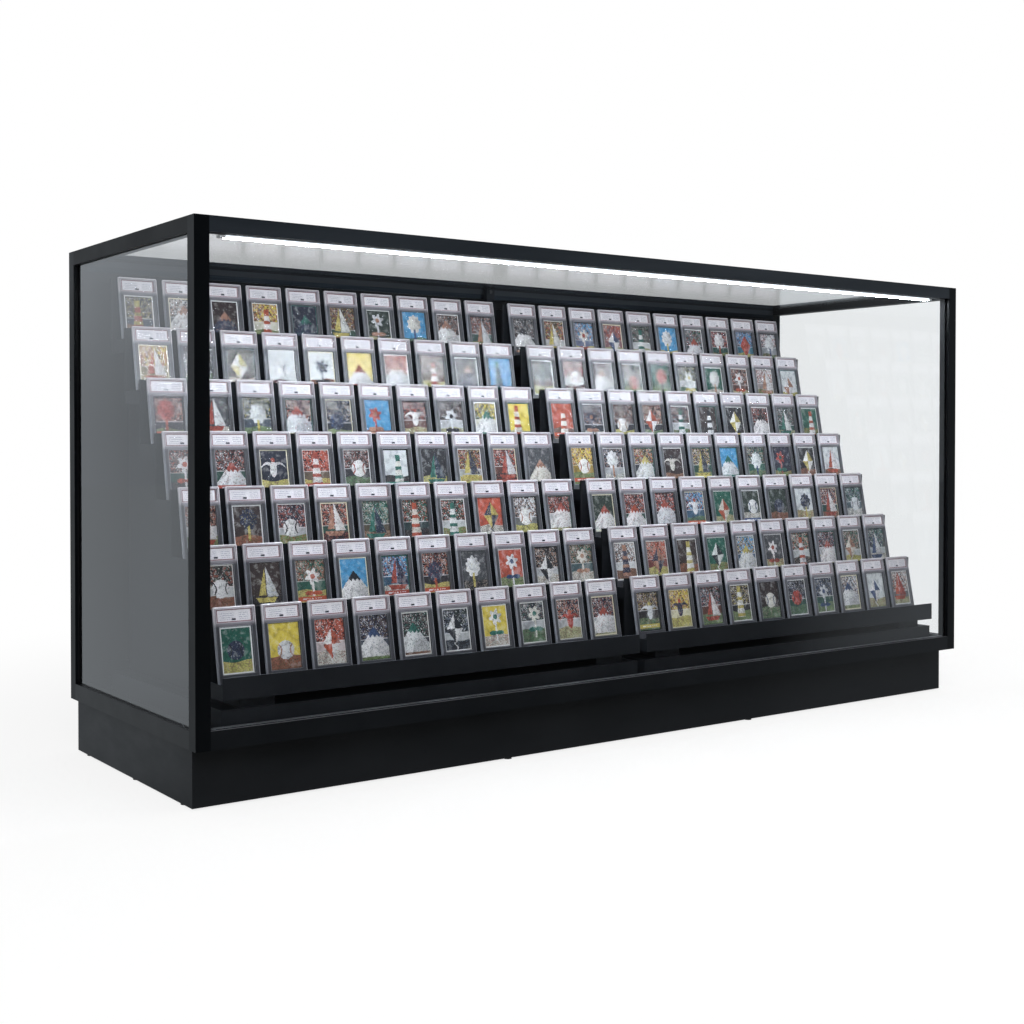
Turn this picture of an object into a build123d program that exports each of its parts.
from build123d import *

import math
import os

# Trading card display case: a glazed counter showcase on a boxed base, with two
# stepped racks of seven trays, each holding ten card slabs. Millimetres.
# X runs along the front, Y from the front to the back, Z up.
# The origin is the middle of the case's footprint, on the floor.

# ---------------------------------------------------------------- overall size
CASE_WIDTH = 2000.0
CASE_DEPTH = 600.0
FRAME_HEIGHT = 883.0

# ---------------------------------------------------------------- base
BASE_HEIGHT = 105.0
BASE_BOARD = 18.0
BASE_FRONT_SETBACK = 37.0
BASE_SIDE_SETBACK = 10.0
BASE_REAR_SETBACK = 14.0
CORNER_BLOCK = 30.0
GLIDE_HEIGHT = 3.0
GLIDE_RADIUS = 8.0
GLIDE_PIN_RADIUS = 2.0
GLIDE_PIN_LENGTH = 12.0
GLIDE_END_INSET = 40.0
DECK_THICKNESS = 20.0
SCREW_RADIUS = 2.0
SCREW_HEAD_RADIUS = 4.0
SCREW_HEAD_HEIGHT = 1.8
DECK_SCREW_LENGTH = 45.0
BRACE_SCREW_INSET = 88.0

# ---------------------------------------------------------------- frame
PROFILE = 27.0
TOP_RAIL_HEIGHT = 27.0
BOTTOM_RAIL_HEIGHT = 32.0
WALL = 1.8
SPIGOT_LENGTH = 40.0
SPIGOT_CLEARANCE = 0.1
EDGE_RADIUS = 1.2

# ---------------------------------------------------------------- glass
GLASS_THICKNESS = 5.0
GLASS_INSET = 7.0
TOP_GLASS_INSET = 9.0
GLASS_BITE = 7.0
GASKET = 0.8

# ---------------------------------------------------------------- sliding doors
TRACK_WEB = 1.5
TRACK_FIN = 2.0
UPPER_TRACK_HEIGHT = 11.0
LOWER_TRACK_HEIGHT = 8.0
DOOR_THICKNESS = 9.0
DOOR_SIDE_GAP = 0.5
DOOR_END_GAP = 0.5
DOOR_BOTTOM_GAP = 2.0
DOOR_LIFT_GAP = 5.5
STILE_WIDTH = 28.0
DOOR_TOP_RAIL = 24.0
DOOR_BOTTOM_RAIL = 34.0
PANEL_THICKNESS = 4.0
PANEL_BITE = 6.0
PULL_HEIGHT = 80.0
PULL_WIDTH = 14.0
PULL_DEPTH = 6.0
PULL_WALL = 1.0
PULL_BEZEL = 2.0
PULL_BEZEL_THICKNESS = 0.8
ROLLER_RADIUS = 5.5
ROLLER_WIDTH = 4.0
ROLLER_END_INSET = 60.0
ROLLER_TRACK_GAP = 0.3
ROLLER_SIDE_GAP = 0.4
ROLLER_POCKET_GAP = 1.5
AXLE_RADIUS = 1.5
RUNNING_CLEARANCE = 0.05

# ---------------------------------------------------------------- push lock
LOCK_RADIUS = 7.0
LOCK_FLANGE_RADIUS = 10.0
LOCK_FLANGE_THICKNESS = 2.0
LOCK_THROAT = 1.5
LOCK_HEAD_RADIUS = 5.5
LOCK_HEAD_THICKNESS = 2.5
LOCK_PIN_RADIUS = 2.5
LOCK_TRAVEL = 6.5
LOCK_ABOVE_MIDDLE = 60.0
KEYWAY_WIDTH = 1.2
KEYWAY_LENGTH = 6.0
KEYWAY_DEPTH = 1.5
STRIKE_CLEARANCE = 0.7
STRIKE_DEPTH = 5.0

# ---------------------------------------------------------------- shelf standard
STANDARD_WIDTH = 22.0
STANDARD_DEPTH = 13.0
STANDARD_WALL = 1.5
SLOT_WIDTH = 4.0
SLOT_HEIGHT = 13.0
SLOT_PITCH = 32.0
STANDARD_SCREW_INSET = 6.0
STANDARD_SCREW_BITE = 6.0

# ---------------------------------------------------------------- lamp bar
LAMP_END_GAP = 42.0
LAMP_DEPTH = 15.0
LAMP_DROP = 4.0
LAMP_WALL = 1.2
LAMP_FLANGE_HEIGHT = 10.0
LAMP_CAP_THICKNESS = 10.0
STRIP_WIDTH = 10.0
STRIP_THICKNESS = 1.0
DRIVER_SIZE = (160.0, 42.0, 30.0)
DRIVER_CORNER = 5.0
DRIVER_INSET = (180.0, 45.0)

# ---------------------------------------------------------------- card slabs
SLAB_WIDTH = 80.0
SLAB_HEIGHT = 134.5
SLAB_HALF = 3.0
SLAB_CORNER = 2.0
WINDOW_DEPTH = 0.8
CARD_WIDTH = 59.5
CARD_HEIGHT = 81.0
CARD_THICKNESS = 0.5
CARD_BOTTOM = 17.8
LABEL_WIDTH = 66.5
LABEL_HEIGHT = 23.0
LABEL_THICKNESS = 0.4
LABEL_BOTTOM = 107.0
INSERT_CLEARANCE = 0.2
WINDOW_MARGIN = 2.5

# ---------------------------------------------------------------- racks
SLAB_PITCH = 92.0
RACK_END_MARGIN = 11.5
RACK_GAP = 20.0
RACK_FRONT_GAP = 10.4
RACK_BASE_HEIGHT = 38.0
RACK_BASE_GAP = 1.5
RACK_SIDE_CLEARANCE = 30.0
RACK_REAR_CLEARANCE = 10.0
SLAB_TOP_CLEARANCE = 10.0
SHEET = 2.0
RISER_THICKNESS = 3.0
LEAN = 10.8
TIER_RISE = 101.3
FIRST_TREAD = 72.5
LIP_DROP = 17.5
LIP_RISE = 20.5
END_FLANGE_RISE = 8.0
SLAB_FOOT = 38.8
FOOT_RIB = 4.0
FOOT_GAP = 0.3
RISER_HEIGHT = 129.0
LEAN_GAP = 0.2
BRACKET_WIDTH = 68.0
BRACKET_END_INSET = 36.0
BRACKET_FRONT_SETBACK = 13.5
TRAY_SCREW_BACK = 20.0

# ---------------------------------------------------------------- rear fittings
FITTING_HEIGHT = 55.0
LEAD_OUTLET_INSET = 100.0
LEAD_OUTLET_RADIUS = 8.0
GROMMET_WALL = 3.0
GROMMET_FLANGE = 4.0
GROMMET_FLANGE_THICKNESS = 2.0
SWITCH_INSET = 160.0
SWITCH_BODY = (20.0, 26.0)
SWITCH_WALL = 3.0
SWITCH_DEPTH = 20.0
SWITCH_FLANGE = 2.5
SWITCH_FLANGE_THICKNESS = 2.0
ROCKER_TILT = 10.0
ROCKER_GAP = 0.4
ROCKER_PROUD = 2.5
ROCKER_BODY = 5.0
ROCKER_PIN_RADIUS = 1.2
ROCKER_PIN_LENGTH = 1.5

# ---------------------------------------------------------------- derived places
X_OUT = CASE_WIDTH / 2
Y_OUT = CASE_DEPTH / 2
Z_FRAME = BASE_HEIGHT
Z_TOP = BASE_HEIGHT + FRAME_HEIGHT
X_IN = X_OUT - PROFILE
Y_IN = Y_OUT - PROFILE
Z_SILL = Z_FRAME + BOTTOM_RAIL_HEIGHT
Z_HEAD = Z_TOP - TOP_RAIL_HEIGHT
Z_DECK = Z_FRAME + DECK_THICKNESS
Z_TOP_GLASS = Z_TOP - TOP_GLASS_INSET - GLASS_THICKNESS
CHAMBER_END = GLASS_INSET - GASKET - WALL
CORE_START = GLASS_INSET + GLASS_THICKNESS + GASKET + WALL

BASE_X = X_OUT - BASE_SIDE_SETBACK
BASE_Y_FRONT = -Y_OUT + BASE_FRONT_SETBACK
BASE_Y_REAR = Y_OUT - BASE_REAR_SETBACK
BASE_X_INNER = BASE_X - BASE_BOARD
BASE_Y_FRONT_INNER = BASE_Y_FRONT + BASE_BOARD
BASE_Y_REAR_INNER = BASE_Y_REAR - BASE_BOARD
BRACE_OFFSET = BASE_X / 3
BRACE_SCREW_Y = BASE_Y_REAR_INNER - BRACE_SCREW_INSET
DRIVER_CENTRE = (-X_OUT + DRIVER_INSET[0], BASE_Y_FRONT_INNER + DRIVER_INSET[1])
LEAD_OUTLET_X = X_OUT - LEAD_OUTLET_INSET
SWITCH_X = X_OUT - SWITCH_INSET

LEAN_RAD = math.radians(LEAN)
SLAB_THICKNESS = 2 * SLAB_HALF
SLAB_BACK_FOOT = SLAB_FOOT + SLAB_THICKNESS * math.cos(LEAN_RAD)
RISER_FRONT = SLAB_BACK_FOOT + RISER_HEIGHT * math.tan(LEAN_RAD) + LEAN_GAP
TIER_GOING = RISER_FRONT + RISER_THICKNESS
RACK_FRONT = -Y_OUT + GLASS_INSET + GLASS_THICKNESS + RACK_FRONT_GAP

# As many slabs as fit across, and as many tiers as fit both the depth and the height.
ROOM_ACROSS = X_IN - RACK_GAP / 2 - RACK_SIDE_CLEARANCE - 2 * RACK_END_MARGIN - SLAB_WIDTH
SLABS_PER_TIER = 1 + int(ROOM_ACROSS // SLAB_PITCH)
ROOM_DEEP = Y_IN - STANDARD_DEPTH - RACK_REAR_CLEARANCE - RACK_FRONT
FIRST_SLAB_TOP = (Z_DECK + FIRST_TREAD + SLAB_HEIGHT * math.cos(LEAN_RAD)
                  + SLAB_THICKNESS * math.sin(LEAN_RAD))
ROOM_HIGH = Z_HEAD - UPPER_TRACK_HEIGHT - SLAB_TOP_CLEARANCE - FIRST_SLAB_TOP
TIERS = min(int(ROOM_DEEP // TIER_GOING), 1 + int(ROOM_HIGH // TIER_RISE))
RACK_WIDTH = 2 * RACK_END_MARGIN + (SLABS_PER_TIER - 1) * SLAB_PITCH + SLAB_WIDTH
RACK_BACK = RACK_FRONT + TIERS * TIER_GOING
Z_RACK_BASE = Z_DECK + RACK_BASE_HEIGHT
RACK_LEFT_ENDS = {"left": -RACK_GAP / 2 - RACK_WIDTH, "right": RACK_GAP / 2}


# ---------------------------------------------------------------- small helpers
def block(span):
    """A box from its (x0, x1, y0, y1, z0, z1) limits."""
    x0, x1, y0, y1, z0, z1 = span
    centre = Pos((x0 + x1) / 2, (y0 + y1) / 2, (z0 + z1) / 2)
    return centre * Box(x1 - x0, y1 - y0, z1 - z0)


def grown(span, by):
    """The same limits, moved out by one margin on every side."""
    x0, x1, y0, y1, z0, z1 = span
    return (x0 - by, x1 + by, y0 - by, y1 + by, z0 - by, z1 + by)


def rod_y(x, z, radius, y0, y1):
    """A round bar along Y."""
    turned = Pos(x, (y0 + y1) / 2, z) * Rot(X=90)
    return turned * Cylinder(radius, y1 - y0)


def rod_z(x, y, radius, z0, z1):
    """A round bar along Z."""
    return Pos(x, y, (z0 + z1) / 2) * Cylinder(radius, z1 - z0)


def prism_x(outline, x0, x1):
    """A section drawn as (y, z) points, drawn out along X."""
    face = make_face(Polyline(*outline, close=True))
    return extrude(Plane.YZ.offset(x0) * face, amount=x1 - x0)


def tied(low, high):
    """Two numbers in rising order."""
    return (low, high) if low < high else (high, low)


# ---------------------------------------------------------------- glass panes
PANES = {
    "front_glass": (
        -X_IN - GLASS_BITE, X_IN + GLASS_BITE,
        -Y_OUT + GLASS_INSET, -Y_OUT + GLASS_INSET + GLASS_THICKNESS,
        Z_SILL - GLASS_BITE, Z_HEAD + GLASS_BITE,
    ),
    "left_glass": (
        -X_OUT + GLASS_INSET, -X_OUT + GLASS_INSET + GLASS_THICKNESS,
        -Y_IN - GLASS_BITE, Y_IN + GLASS_BITE,
        Z_SILL - GLASS_BITE, Z_HEAD + GLASS_BITE,
    ),
    "right_glass": (
        X_OUT - GLASS_INSET - GLASS_THICKNESS, X_OUT - GLASS_INSET,
        -Y_IN - GLASS_BITE, Y_IN + GLASS_BITE,
        Z_SILL - GLASS_BITE, Z_HEAD + GLASS_BITE,
    ),
    "top_glass": (
        -X_IN - GLASS_BITE, X_IN + GLASS_BITE,
        -Y_IN - GLASS_BITE, Y_IN + GLASS_BITE,
        Z_TOP_GLASS, Z_TOP_GLASS + GLASS_THICKNESS,
    ),
}


def grooved(piece):
    """Cuts the glazing grooves, which hold each pane and its gasket."""
    for pane in PANES.values():
        piece = piece - block(grown(pane, GASKET))
    return piece


def gasket(pane):
    """The U-shaped rubber ring round one pane's edge."""
    window = []
    sizes = [pane[2 * axis + 1] - pane[2 * axis] for axis in range(3)]
    for axis, size in enumerate(sizes):
        by = 2 * GASKET if size == min(sizes) else -GLASS_BITE
        window += [pane[2 * axis] - by, pane[2 * axis + 1] + by]
    return block(grown(pane, GASKET)) - block(pane) - block(window)


# ---------------------------------------------------------------- frame members
def chamber(outer, side, gap=0.0):
    """The slim outer chamber of a rail, between its face and the glass."""
    return tied(side * (outer - WALL - gap), side * (outer - CHAMBER_END + gap))


def core(outer, side, gap=0.0):
    """The square core of a post, behind the glass, across one of its widths."""
    return tied(side * (outer - CORE_START - gap), side * (outer - PROFILE + WALL + gap))


def member(outer, side):
    """The full width of a profile that lies along one outer face."""
    return tied(side * outer, side * (outer - PROFILE))


def front_or_rear_rail(side, z0, z1):
    """A rail along X between two corner connectors."""
    rail = block((-X_IN, X_IN, *member(Y_OUT, side), z0, z1))
    hollow = block((-X_IN, X_IN, *chamber(Y_OUT, side), z0 + WALL, z1 - WALL))
    return grooved(rail - hollow)


def side_rail(side, z0, z1):
    """A rail along Y between two corner connectors."""
    rail = block((*member(X_OUT, side), -Y_IN, Y_IN, z0, z1))
    hollow = block((*chamber(X_OUT, side), -Y_IN, Y_IN, z0 + WALL, z1 - WALL))
    return grooved(rail - hollow)


def corner_edge(piece, x_side, y_side):
    """Eases the outer upright edge of a corner member."""
    edges = piece.edges().filter_by(Axis.Z).sort_by(
        lambda edge: -x_side * edge.center().X - y_side * edge.center().Y
    )
    return fillet(edges[0], EDGE_RADIUS)


def post(x_side, y_side):
    """A corner post between its two connectors."""
    tube = block((*member(X_OUT, x_side), *member(Y_OUT, y_side), Z_SILL, Z_HEAD))
    tube = corner_edge(tube, x_side, y_side)
    hollow = (*core(X_OUT, x_side), *core(Y_OUT, y_side), Z_SILL, Z_HEAD)
    return grooved(tube - block(hollow))


def connector(x_side, y_side, z0, z1, up):
    """A three-way corner: a cube with a spigot into each of its members."""
    cube = block((*member(X_OUT, x_side), *member(Y_OUT, y_side), z0, z1))
    cube = corner_edge(cube, x_side, y_side)
    across_x = chamber(X_OUT, x_side, SPIGOT_CLEARANCE)
    across_y = chamber(Y_OUT, y_side, SPIGOT_CLEARANCE)
    across_z = (z0 + WALL + SPIGOT_CLEARANCE, z1 - WALL - SPIGOT_CLEARANCE)
    along_x = tied(x_side * X_IN, x_side * (X_IN - SPIGOT_LENGTH))
    along_y = tied(y_side * Y_IN, y_side * (Y_IN - SPIGOT_LENGTH))
    along_z = (z1, z1 + SPIGOT_LENGTH) if up else (z0 - SPIGOT_LENGTH, z0)
    cube += block((*along_x, *across_y, *across_z))
    cube += block((*across_x, *along_y, *across_z))
    core_x = core(X_OUT, x_side, SPIGOT_CLEARANCE)
    core_y = core(Y_OUT, y_side, SPIGOT_CLEARANCE)
    cube += block((*core_x, *core_y, *along_z))
    return grooved(cube)


def frame_parts():
    standard_screws = standard_screw_heights()
    rear_top = front_or_rear_rail(1, Z_HEAD, Z_TOP)
    rear_bottom = front_or_rear_rail(1, Z_FRAME, Z_SILL)
    bite = Y_IN + STANDARD_SCREW_BITE
    rear_bottom -= rod_y(0, standard_screws[0], SCREW_RADIUS, Y_IN, bite)
    rear_top -= rod_y(0, standard_screws[1], SCREW_RADIUS, Y_IN, bite)
    corners = []
    for x_side in (-1, 1):
        for y_side in (-1, 1):
            corners.append(connector(x_side, y_side, Z_FRAME, Z_SILL, True))
            corners.append(connector(x_side, y_side, Z_HEAD, Z_TOP, False))
    return {
        "front_posts": [post(-1, -1), post(1, -1)],
        "rear_posts": [post(-1, 1), post(1, 1)],
        "top_front_rail": [front_or_rear_rail(-1, Z_HEAD, Z_TOP)],
        "bottom_front_rail": [front_or_rear_rail(-1, Z_FRAME, Z_SILL)],
        "top_rear_rail": [rear_top],
        "bottom_rear_rail": [rear_bottom],
        "top_side_rails": [side_rail(side, Z_HEAD, Z_TOP) for side in (-1, 1)],
        "bottom_side_rails": [side_rail(side, Z_FRAME, Z_SILL) for side in (-1, 1)],
        "corner_connectors": corners,
    }


def glass_parts():
    parts = {name: [block(pane)] for name, pane in PANES.items()}
    parts["glass_gaskets"] = [gasket(pane) for pane in PANES.values()]
    return parts


# ---------------------------------------------------------------- base and deck
def glide_places():
    """Under the side boards at three points, under front and rear at two."""
    side_x = BASE_X - BASE_BOARD / 2
    front_y = BASE_Y_FRONT + BASE_BOARD / 2
    rear_y = BASE_Y_REAR - BASE_BOARD / 2
    places = []
    for x in (-side_x, side_x):
        places += [(x, front_y + GLIDE_END_INSET), (x, 0), (x, rear_y - GLIDE_END_INSET)]
    for x in (-BRACE_OFFSET, BRACE_OFFSET):
        places += [(x, front_y), (x, rear_y)]
    return places


def deck_screw_places():
    """Three along the front board and two along each brace."""
    front_y = BASE_Y_FRONT + BASE_BOARD / 2
    places = [(x, front_y) for x in (-2 * BRACE_OFFSET, 0, 2 * BRACE_OFFSET)]
    return places + [(x, y) for x in (-BRACE_OFFSET, BRACE_OFFSET) for y in (0, BRACE_SCREW_Y)]


def base_parts():
    boards = {
        "base_front_board": [block((
            -BASE_X_INNER, BASE_X_INNER, BASE_Y_FRONT, BASE_Y_FRONT_INNER,
            GLIDE_HEIGHT, BASE_HEIGHT,
        ))],
        "base_rear_board": [block((
            -BASE_X_INNER, BASE_X_INNER, BASE_Y_REAR_INNER, BASE_Y_REAR,
            GLIDE_HEIGHT, BASE_HEIGHT,
        ))],
        "base_side_boards": [
            block((*tied(side * BASE_X, side * BASE_X_INNER), BASE_Y_FRONT, BASE_Y_REAR,
                   GLIDE_HEIGHT, BASE_HEIGHT))
            for side in (-1, 1)
        ],
    }
    rear = boards["base_rear_board"][0]
    rear -= rod_y(LEAD_OUTLET_X, FITTING_HEIGHT, LEAD_OUTLET_RADIUS + GROMMET_WALL,
                  BASE_Y_REAR_INNER, BASE_Y_REAR)
    rear -= block(switch_span(SWITCH_BODY, BASE_Y_REAR_INNER, BASE_Y_REAR))
    boards["base_rear_board"] = [rear]

    braces = [
        block((x - BASE_BOARD / 2, x + BASE_BOARD / 2, BASE_Y_FRONT_INNER, BASE_Y_REAR_INNER,
               GLIDE_HEIGHT, BASE_HEIGHT))
        for x in (-BRACE_OFFSET, BRACE_OFFSET)
    ]
    for x_side in (-1, 1):
        for y_face, y_way in ((BASE_Y_FRONT_INNER, 1), (BASE_Y_REAR_INNER, -1)):
            braces.append(block((
                *tied(x_side * BASE_X_INNER, x_side * (BASE_X_INNER - CORNER_BLOCK)),
                *tied(y_face, y_face + y_way * CORNER_BLOCK), GLIDE_HEIGHT, BASE_HEIGHT,
            )))
    boards["base_braces"] = braces

    pin_top = GLIDE_HEIGHT + GLIDE_PIN_LENGTH
    holes = [rod_z(x, y, GLIDE_PIN_RADIUS, GLIDE_HEIGHT, pin_top) for x, y in glide_places()]
    screw_tip = Z_DECK - DECK_SCREW_LENGTH
    holes += [rod_z(x, y, SCREW_RADIUS, screw_tip, BASE_HEIGHT) for x, y in deck_screw_places()]
    for name, solids in boards.items():
        boards[name] = [board.cut(*holes) for board in solids]
    boards["floor_glides"] = [
        rod_z(x, y, GLIDE_RADIUS, 0, GLIDE_HEIGHT)
        + rod_z(x, y, GLIDE_PIN_RADIUS, GLIDE_HEIGHT, GLIDE_HEIGHT + GLIDE_PIN_LENGTH)
        for x, y in glide_places()
    ]
    return boards


def deck_parts():
    deck = block((-X_IN, X_IN, -Y_IN, Y_IN, Z_FRAME, Z_DECK))
    screws = []
    for x, y in deck_screw_places():
        screw = rod_z(x, y, SCREW_HEAD_RADIUS, Z_DECK - SCREW_HEAD_HEIGHT, Z_DECK)
        screw += rod_z(x, y, SCREW_RADIUS, Z_DECK - DECK_SCREW_LENGTH, Z_DECK)
        deck -= screw
        screws.append(screw)
    return {"deck_board": [deck], "deck_screws": screws}


# ---------------------------------------------------------------- sliding doors
CHANNEL = DOOR_THICKNESS + 2 * DOOR_SIDE_GAP
DOOR_WIDTH = X_IN + STILE_WIDTH / 2 - DOOR_END_GAP
DOOR_TRAVEL = 2 * X_IN - DOOR_WIDTH - 2 * DOOR_END_GAP
Z_TRACK_FLOOR = Z_SILL + TRACK_WEB
Z_DOOR = Z_TRACK_FLOOR + DOOR_BOTTOM_GAP
Z_DOOR_TOP = Z_HEAD - TRACK_WEB - DOOR_LIFT_GAP
Z_DOOR_MIDDLE = (Z_DOOR + Z_DOOR_TOP) / 2
Z_AXLE = Z_TRACK_FLOOR + ROLLER_TRACK_GAP + ROLLER_RADIUS
Z_LOCK = Z_DOOR_MIDDLE + LOCK_ABOVE_MIDDLE

# Each leaf's (x0, x1, y0, y1). The left leaf runs in the inner channel.
LEAVES = {
    "left": (
        -X_IN + DOOR_END_GAP, -X_IN + DOOR_END_GAP + DOOR_WIDTH,
        Y_IN + TRACK_FIN + DOOR_SIDE_GAP,
        Y_IN + TRACK_FIN + DOOR_SIDE_GAP + DOOR_THICKNESS,
    ),
    "right": (
        X_IN - DOOR_END_GAP - DOOR_WIDTH, X_IN - DOOR_END_GAP,
        Y_OUT - TRACK_FIN - DOOR_SIDE_GAP - DOOR_THICKNESS,
        Y_OUT - TRACK_FIN - DOOR_SIDE_GAP,
    ),
}


def track(z0, z1, floor_below):
    """A double channel that guides both leaves."""
    profile = block((-X_IN, X_IN, Y_IN, Y_OUT, z0, z1))
    depth = (z0 + TRACK_WEB, z1) if floor_below else (z0, z1 - TRACK_WEB)
    inner = Y_IN + TRACK_FIN
    outer = Y_OUT - TRACK_FIN
    profile -= block((-X_IN, X_IN, inner, inner + CHANNEL, *depth))
    profile -= block((-X_IN, X_IN, outer - CHANNEL, outer, *depth))
    return profile


def roller_places(x0, x1):
    inset = STILE_WIDTH + ROLLER_END_INSET
    return (x0 + inset, x1 - inset)


def push_lock_bore(radius, y0, y1):
    return rod_y(0, Z_LOCK, radius, y0, y1)


def door_parts(side):
    x0, x1, y0, y1 = LEAVES[side]
    middle = (y0 + y1) / 2
    panel_span = (
        x0 + STILE_WIDTH - PANEL_BITE, x1 - STILE_WIDTH + PANEL_BITE,
        middle - PANEL_THICKNESS / 2, middle + PANEL_THICKNESS / 2,
        Z_DOOR + DOOR_BOTTOM_RAIL - PANEL_BITE, Z_DOOR_TOP - DOOR_TOP_RAIL + PANEL_BITE,
    )
    panel = block(panel_span)
    left_stile = block((x0, x0 + STILE_WIDTH, y0, y1, Z_DOOR, Z_DOOR_TOP)) - panel
    right_stile = block((x1 - STILE_WIDTH, x1, y0, y1, Z_DOOR, Z_DOOR_TOP)) - panel
    top_rail = block((x0 + STILE_WIDTH, x1 - STILE_WIDTH, y0, y1,
                      Z_DOOR_TOP - DOOR_TOP_RAIL, Z_DOOR_TOP)) - panel
    bottom_rail = block((x0 + STILE_WIDTH, x1 - STILE_WIDTH, y0, y1,
                         Z_DOOR, Z_DOOR + DOOR_BOTTOM_RAIL)) - panel

    parts = {f"{side}_door_panel": [panel]}
    pocket_reach = ROLLER_RADIUS + ROLLER_POCKET_GAP
    pocket_half = ROLLER_WIDTH / 2 + ROLLER_SIDE_GAP
    axles = []
    for end, x in zip(("a", "b"), roller_places(x0, x1)):
        bottom_rail -= block((x - pocket_reach, x + pocket_reach,
                              middle - pocket_half, middle + pocket_half,
                              Z_DOOR, Z_AXLE + pocket_reach))
        bottom_rail -= rod_y(x, Z_AXLE, AXLE_RADIUS, y0, y1)
        axles.append(rod_y(x, Z_AXLE, AXLE_RADIUS, y0, y1))
        wheel = rod_y(x, Z_AXLE, ROLLER_RADIUS,
                      middle - ROLLER_WIDTH / 2, middle + ROLLER_WIDTH / 2)
        wheel -= rod_y(x, Z_AXLE, AXLE_RADIUS + RUNNING_CLEARANCE, y0, y1)
        parts[f"{side}_door_roller_{end}"] = [wheel]
    parts[f"{side}_door_axles"] = axles

    outer_stile_x = x0 + STILE_WIDTH / 2 if side == "left" else x1 - STILE_WIDTH / 2
    cup_span = (
        outer_stile_x - PULL_WIDTH / 2, outer_stile_x + PULL_WIDTH / 2, y1 - PULL_DEPTH, y1,
        Z_DOOR_MIDDLE - PULL_HEIGHT / 2, Z_DOOR_MIDDLE + PULL_HEIGHT / 2,
    )
    bezel_span = (
        cup_span[0] - PULL_BEZEL, cup_span[1] + PULL_BEZEL, y1, y1 + PULL_BEZEL_THICKNESS,
        cup_span[4] - PULL_BEZEL, cup_span[5] + PULL_BEZEL,
    )
    hollow_span = (
        cup_span[0] + PULL_WALL, cup_span[1] - PULL_WALL,
        cup_span[2] + PULL_WALL, bezel_span[3],
        cup_span[4] + PULL_WALL, cup_span[5] - PULL_WALL,
    )
    cup = block(cup_span)
    parts[f"{side}_door_pull"] = [cup + block(bezel_span) - block(hollow_span)]
    if side == "left":
        strike = push_lock_bore(LOCK_PIN_RADIUS + STRIKE_CLEARANCE, y1 - STRIKE_DEPTH, y1)
        left_stile -= cup
        left_stile -= Pos(-DOOR_TRAVEL, 0, 0) * strike
        right_stile -= strike
    else:
        right_stile -= cup
        left_stile -= push_lock_bore(LOCK_RADIUS, y0, y1)
    parts[f"{side}_door_frame"] = [left_stile, right_stile, top_rail, bottom_rail]
    return parts


def lock_parts():
    y0, y1 = LEAVES["right"][2:]
    face = y1 + LOCK_FLANGE_THICKNESS
    housing = push_lock_bore(LOCK_RADIUS, y0, y1)
    housing += push_lock_bore(LOCK_FLANGE_RADIUS, y1, face)
    housing -= push_lock_bore(LOCK_HEAD_RADIUS + RUNNING_CLEARANCE, y0 + LOCK_THROAT, face)
    housing -= push_lock_bore(LOCK_PIN_RADIUS + RUNNING_CLEARANCE, y0, y0 + LOCK_THROAT)
    plunger = push_lock_bore(LOCK_HEAD_RADIUS, face - LOCK_HEAD_THICKNESS, face)
    plunger += push_lock_bore(LOCK_PIN_RADIUS, y0, face - LOCK_HEAD_THICKNESS)
    plunger -= block((-KEYWAY_WIDTH / 2, KEYWAY_WIDTH / 2, face - KEYWAY_DEPTH, face,
                      Z_LOCK - KEYWAY_LENGTH / 2, Z_LOCK + KEYWAY_LENGTH / 2))
    return {"lock_housing": [housing], "lock_plunger": [plunger]}


def track_parts():
    return {
        "upper_door_track": [track(Z_HEAD - UPPER_TRACK_HEIGHT, Z_HEAD, False)],
        "lower_door_track": [track(Z_SILL, Z_SILL + LOWER_TRACK_HEIGHT, True)],
    }


# ---------------------------------------------------------------- shelf standard
def standard_screw_heights():
    low = Z_DECK + STANDARD_SCREW_INSET
    return (low, Z_HEAD + STANDARD_SCREW_INSET)


def pan_screw_y(x, z, head_back, tip):
    """A pan-head screw along Y, its head in front."""
    head = rod_y(x, z, SCREW_HEAD_RADIUS, head_back - SCREW_HEAD_HEIGHT, head_back)
    return head + rod_y(x, z, SCREW_RADIUS, head_back, tip)


def standard_parts():
    """The slotted upright between the racks, screwed to the rear rails."""
    front = Y_IN - STANDARD_DEPTH
    z1 = Z_TOP_GLASS - GASKET
    half = STANDARD_WIDTH / 2
    channel = block((-half, half, front, Y_IN, Z_DECK, z1))
    channel -= block((-half + STANDARD_WALL, half - STANDARD_WALL, front + STANDARD_WALL, Y_IN,
                      Z_DECK, z1))
    slots = int((z1 - Z_DECK - SLOT_PITCH) // SLOT_PITCH)
    for index in range(1, slots + 1):
        z = Z_DECK + index * SLOT_PITCH
        channel -= block((-SLOT_WIDTH / 2, SLOT_WIDTH / 2, front, front + STANDARD_WALL,
                          z - SLOT_HEIGHT / 2, z + SLOT_HEIGHT / 2))
    screws = []
    for z in standard_screw_heights():
        channel -= rod_y(0, z, SCREW_RADIUS, front, front + STANDARD_WALL)
        screws.append(pan_screw_y(0, z, front, Y_IN + STANDARD_SCREW_BITE))
    return {"centre_standard": [channel], "standard_screws": screws}


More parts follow.
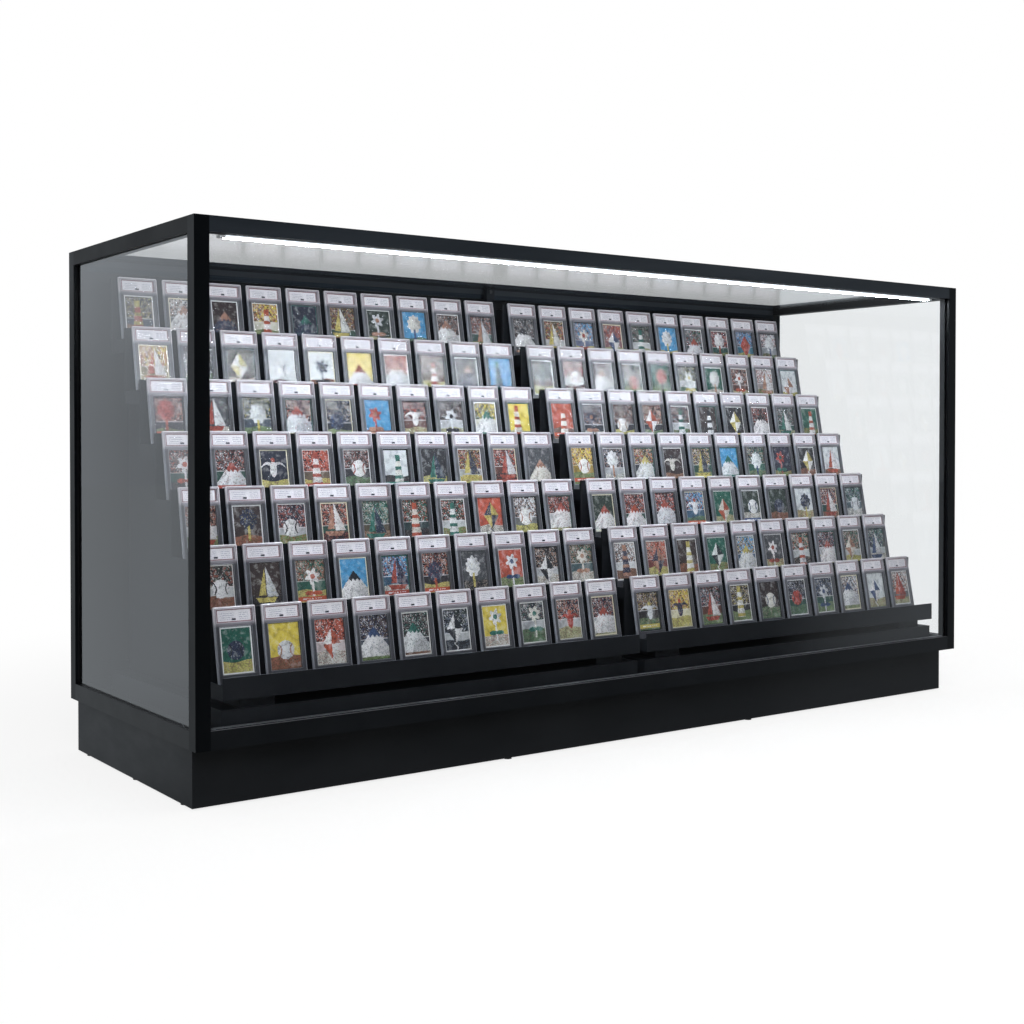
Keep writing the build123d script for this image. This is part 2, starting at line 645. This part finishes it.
# ---------------------------------------------------------------- lamp bar
def lamp_parts():
    """A strip lamp under the top front rail, hung by a flange on the rail's back."""
    half = X_IN - LAMP_END_GAP
    y0 = -Y_IN
    y1 = y0 + LAMP_DEPTH
    z0 = Z_HEAD - LAMP_DROP
    z1 = Z_HEAD
    channel = block((-half, half, y0, y1, z1, z1 + LAMP_WALL))
    channel += block((-half, half, y0, y0 + LAMP_WALL, z1, z1 + LAMP_FLANGE_HEIGHT))
    diffuser = block((-half, half, y0, y1, z0, z1))
    diffuser -= block((-half, half, y0 + LAMP_WALL, y1 - LAMP_WALL, z0 + LAMP_WALL, z1))
    middle = (y0 + y1) / 2
    strip = block((-half, half, middle - STRIP_WIDTH / 2, middle + STRIP_WIDTH / 2,
                   z1 - STRIP_THICKNESS, z1))
    caps = [
        block((*tied(side * half, side * (half + LAMP_CAP_THICKNESS)), y0, y1,
               z0, z1 + LAMP_WALL))
        for side in (-1, 1)
    ]
    length, depth, height = DRIVER_SIZE
    driver = Pos(*DRIVER_CENTRE, BASE_HEIGHT - height / 2) * Box(length, depth, height)
    driver = fillet(driver.edges().filter_by(Axis.Z), DRIVER_CORNER)
    return {
        "lamp_channel": [channel],
        "lamp_diffuser": [diffuser],
        "lamp_strip": [strip],
        "lamp_end_caps": caps,
        "lamp_driver": [driver],
    }


# ---------------------------------------------------------------- rear fittings
def switch_span(size, y0, y1):
    width, height = size
    return (SWITCH_X - width / 2, SWITCH_X + width / 2, y0, y1,
            FITTING_HEIGHT - height / 2, FITTING_HEIGHT + height / 2)


def switch_parts():
    """A rocker switch: see-saw rocker on two stub pins in a box with a rim."""
    width, height = SWITCH_BODY
    face = BASE_Y_REAR + SWITCH_FLANGE_THICKNESS
    back = BASE_Y_REAR - SWITCH_DEPTH
    cavity = (width - 2 * SWITCH_WALL, height - 2 * SWITCH_WALL)
    rim = (width + 2 * SWITCH_FLANGE, height + 2 * SWITCH_FLANGE)
    housing = block(switch_span(SWITCH_BODY, back, BASE_Y_REAR))
    housing += block(switch_span(rim, BASE_Y_REAR, face))
    housing -= block(switch_span(cavity, back + SWITCH_WALL, face))
    pin_half = cavity[0] / 2 + ROCKER_PIN_LENGTH
    pin_axis = Pos(SWITCH_X, BASE_Y_REAR, FITTING_HEIGHT) * Rot(Y=90)
    housing -= pin_axis * Cylinder(ROCKER_PIN_RADIUS + RUNNING_CLEARANCE, 2 * pin_half)

    half_width = cavity[0] / 2 - ROCKER_GAP
    half_height = cavity[1] / 2 - 2 * ROCKER_GAP
    proud = SWITCH_FLANGE_THICKNESS + ROCKER_PROUD
    outline = [
        (-ROCKER_BODY, -half_height / 2), (-ROCKER_BODY, half_height / 2),
        (0, half_height), (proud, half_height), (proud - ROCKER_PROUD / 2, 0),
        (proud, -half_height), (0, -half_height),
    ]
    rocker = prism_x(outline, -half_width, half_width)
    rocker += Rot(Y=90) * Cylinder(ROCKER_PIN_RADIUS, 2 * (pin_half - RUNNING_CLEARANCE))
    rocker = Pos(SWITCH_X, BASE_Y_REAR, FITTING_HEIGHT) * Rot(X=-ROCKER_TILT) * rocker
    return {"switch_housing": [housing], "switch_rocker": [rocker]}


def outlet_parts():
    """The rubber grommet where the lamp's lead leaves the base."""
    radius = LEAD_OUTLET_RADIUS + GROMMET_WALL
    face = BASE_Y_REAR + GROMMET_FLANGE_THICKNESS
    ring = rod_y(LEAD_OUTLET_X, FITTING_HEIGHT, radius, BASE_Y_REAR_INNER, BASE_Y_REAR)
    ring += rod_y(LEAD_OUTLET_X, FITTING_HEIGHT, radius + GROMMET_FLANGE, BASE_Y_REAR, face)
    ring -= rod_y(LEAD_OUTLET_X, FITTING_HEIGHT, LEAD_OUTLET_RADIUS, BASE_Y_REAR_INNER, face)
    return {"lead_grommet": [ring]}


# ---------------------------------------------------------------- racks
def tread_height(tier):
    return Z_DECK + FIRST_TREAD + tier * TIER_RISE


def tier_front(tier):
    return RACK_FRONT + tier * TIER_GOING


def bracket_starts(rack_x):
    far = rack_x + RACK_WIDTH - BRACKET_END_INSET - BRACKET_WIDTH
    return (rack_x + BRACKET_END_INSET, far)


def tray_screw_places(rack_x, tier):
    y = tier_front(tier) + TRAY_SCREW_BACK
    return [(x + BRACKET_WIDTH / 2, y) for x in bracket_starts(rack_x)]


def tray(rack_x, tier):
    """One folded sheet: a front lip, a tread with a foot rib, and a riser."""
    y = tier_front(tier)
    z = tread_height(tier)
    rib_back = y + SLAB_FOOT - FOOT_GAP
    riser = y + RISER_FRONT
    back = y + TIER_GOING
    outline = [
        (y, z - LIP_DROP), (y, z + LIP_RISE), (y + SHEET, z + LIP_RISE), (y + SHEET, z),
        (rib_back - SHEET, z), (rib_back - SHEET, z + FOOT_RIB),
        (rib_back, z + FOOT_RIB), (rib_back, z),
        (riser, z), (riser, z + RISER_HEIGHT), (back, z + RISER_HEIGHT), (back, z - SHEET),
        (y + SHEET, z - SHEET), (y + SHEET, z - LIP_DROP),
    ]
    sheet = prism_x(outline, rack_x, rack_x + RACK_WIDTH)
    for x in (rack_x, rack_x + RACK_WIDTH - SHEET):
        upright = (x, x + SHEET, y + SHEET, riser, z - LIP_DROP, z + END_FLANGE_RISE)
        sheet += block(upright)
    for x, screw_y in tray_screw_places(rack_x, tier):
        sheet -= rod_z(x, screw_y, SCREW_RADIUS, z - SHEET, z)
    return sheet


def bracket(rack_x, x0):
    """A stepped stand: two side plates, a front leg, a back web and treads."""
    x1 = x0 + BRACKET_WIDTH
    start = RACK_FRONT + BRACKET_FRONT_SETBACK
    outline = [(start, Z_RACK_BASE)]
    for tier in range(TIERS):
        z = tread_height(tier) - SHEET
        front = start if tier == 0 else tier_front(tier) + SHEET
        last = tier == TIERS - 1
        back = RACK_BACK if last else tier_front(tier + 1) + SHEET
        outline += [(front, z), (back, z)]
    outline.append((RACK_BACK, Z_RACK_BASE))
    stand = prism_x(outline, x0, x0 + SHEET) + prism_x(outline, x1 - SHEET, x1)
    stand += block((x0, x1, start, start + SHEET, Z_RACK_BASE, tread_height(0) - SHEET))
    top = tread_height(TIERS - 1) - SHEET
    stand += block((x0, x1, RACK_BACK - SHEET, RACK_BACK, Z_RACK_BASE, top))
    for tier in range(TIERS):
        z = tread_height(tier) - SHEET
        front, back = outline[1 + 2 * tier][0], outline[2 + 2 * tier][0]
        stand += block((x0, x1, front, back, z - SHEET, z))
        for x, screw_y in tray_screw_places(rack_x, tier):
            stand -= rod_z(x, screw_y, SCREW_RADIUS, z - SHEET, z)
    return stand


def rack_base(rack_x):
    """A low folded pan, open below, that the stands are fixed on."""
    front = -Y_IN + RACK_BASE_GAP
    span = (rack_x, rack_x + RACK_WIDTH, front, RACK_BACK, Z_DECK, Z_RACK_BASE)
    inside = (span[0] + SHEET, span[1] - SHEET, span[2] + SHEET, span[3] - SHEET,
              span[4], span[5] - SHEET)
    return block(span) - block(inside)


def rack_parts():
    trays = {side: [] for side in RACK_LEFT_ENDS}
    brackets = []
    screws = []
    for side, rack_x in RACK_LEFT_ENDS.items():
        brackets += [bracket(rack_x, x) for x in bracket_starts(rack_x)]
        for tier in range(TIERS):
            trays[side].append(tray(rack_x, tier))
            z = tread_height(tier)
            for x, y in tray_screw_places(rack_x, tier):
                head = rod_z(x, y, SCREW_HEAD_RADIUS, z, z + SCREW_HEAD_HEIGHT)
                screws.append(head + rod_z(x, y, SCREW_RADIUS, z - 2 * SHEET, z))
    return {
        "rack_bases": [rack_base(rack_x) for rack_x in RACK_LEFT_ENDS.values()],
        "rack_brackets": brackets,
        "left_card_trays": trays["left"],
        "right_card_trays": trays["right"],
        "tray_screws": screws,
    }


# ---------------------------------------------------------------- card slabs
def slab_plate(y0):
    """Half of a slab, lying in XZ with its lower left corner at the origin."""
    right, top, cut = SLAB_WIDTH, SLAB_HEIGHT, SLAB_CORNER
    outline = [
        (cut, 0), (right - cut, 0), (right, cut), (right, top - cut),
        (right - cut, top), (cut, top), (0, top - cut), (0, cut),
    ]
    face = make_face(Polyline(*outline, close=True))
    return extrude(Plane.XZ.offset(-y0) * face, amount=-SLAB_HALF)


def centred(width, height, bottom, y0, y1, margin=0.0):
    """A block centred across the slab, grown in its face by a margin."""
    middle = SLAB_WIDTH / 2
    return block((middle - width / 2 - margin, middle + width / 2 + margin, y0, y1,
                  bottom - margin, bottom + height + margin))


def slab_pieces():
    """The two shells, the card and its label, before they are set in place."""
    pocket = SLAB_HALF + CARD_THICKNESS + INSERT_CLEARANCE
    label_pocket = SLAB_HALF + LABEL_THICKNESS + INSERT_CLEARANCE
    card_area = (CARD_WIDTH, CARD_HEIGHT, CARD_BOTTOM)
    label_area = (LABEL_WIDTH, LABEL_HEIGHT, LABEL_BOTTOM)
    front = slab_plate(0)
    front -= centred(*card_area, 0, WINDOW_DEPTH, WINDOW_MARGIN)
    front -= centred(*label_area, 0, WINDOW_DEPTH, WINDOW_MARGIN)
    back = slab_plate(SLAB_HALF)
    back -= centred(*card_area, SLAB_HALF, pocket, INSERT_CLEARANCE)
    back -= centred(*label_area, SLAB_HALF, label_pocket, INSERT_CLEARANCE)
    card = centred(*card_area, pocket - CARD_THICKNESS, pocket)
    label = centred(*label_area, label_pocket - LABEL_THICKNESS, label_pocket)
    return {"slab_fronts": front, "slab_backs": back, "cards": card, "labels": label}


def slab_location(rack_x, tier, index):
    """Leaned back, with its lower back edge on the tread."""
    drop = SLAB_THICKNESS * math.sin(LEAN_RAD)
    x = rack_x + RACK_END_MARGIN + index * SLAB_PITCH
    return Pos(x, tier_front(tier) + SLAB_FOOT, tread_height(tier) + drop) * Rot(X=-LEAN)


def slab_parts():
    parts = {}
    pieces = slab_pieces()
    for side, rack_x in RACK_LEFT_ENDS.items():
        places = [
            slab_location(rack_x, tier, index)
            for tier in range(TIERS) for index in range(SLABS_PER_TIER)
        ]
        for kind, piece in pieces.items():
            parts[f"{side}_{kind}"] = [place * piece for place in places]
    return parts


# ---------------------------------------------------------------- write the parts
def all_parts():
    parts = {}
    groups = (
        base_parts(), deck_parts(), frame_parts(), glass_parts(), track_parts(),
        door_parts("left"), door_parts("right"), lock_parts(), standard_parts(),
        lamp_parts(), switch_parts(), outlet_parts(), rack_parts(), slab_parts(),
    )
    for group in groups:
        parts.update(group)
    return parts


def single_solids(shapes):
    """Every solid of every shape, as one flat list."""
    return [solid for shape in shapes for solid in shape.solids()]


os.makedirs("parts", exist_ok=True)
for name, shapes in all_parts().items():
    export_step(Compound(children=single_solids(shapes)), f"parts/{name}.step")
print(f"door travel {DOOR_TRAVEL:.1f}, tier going {TIER_GOING:.2f}, rack back {RACK_BACK:.2f}")
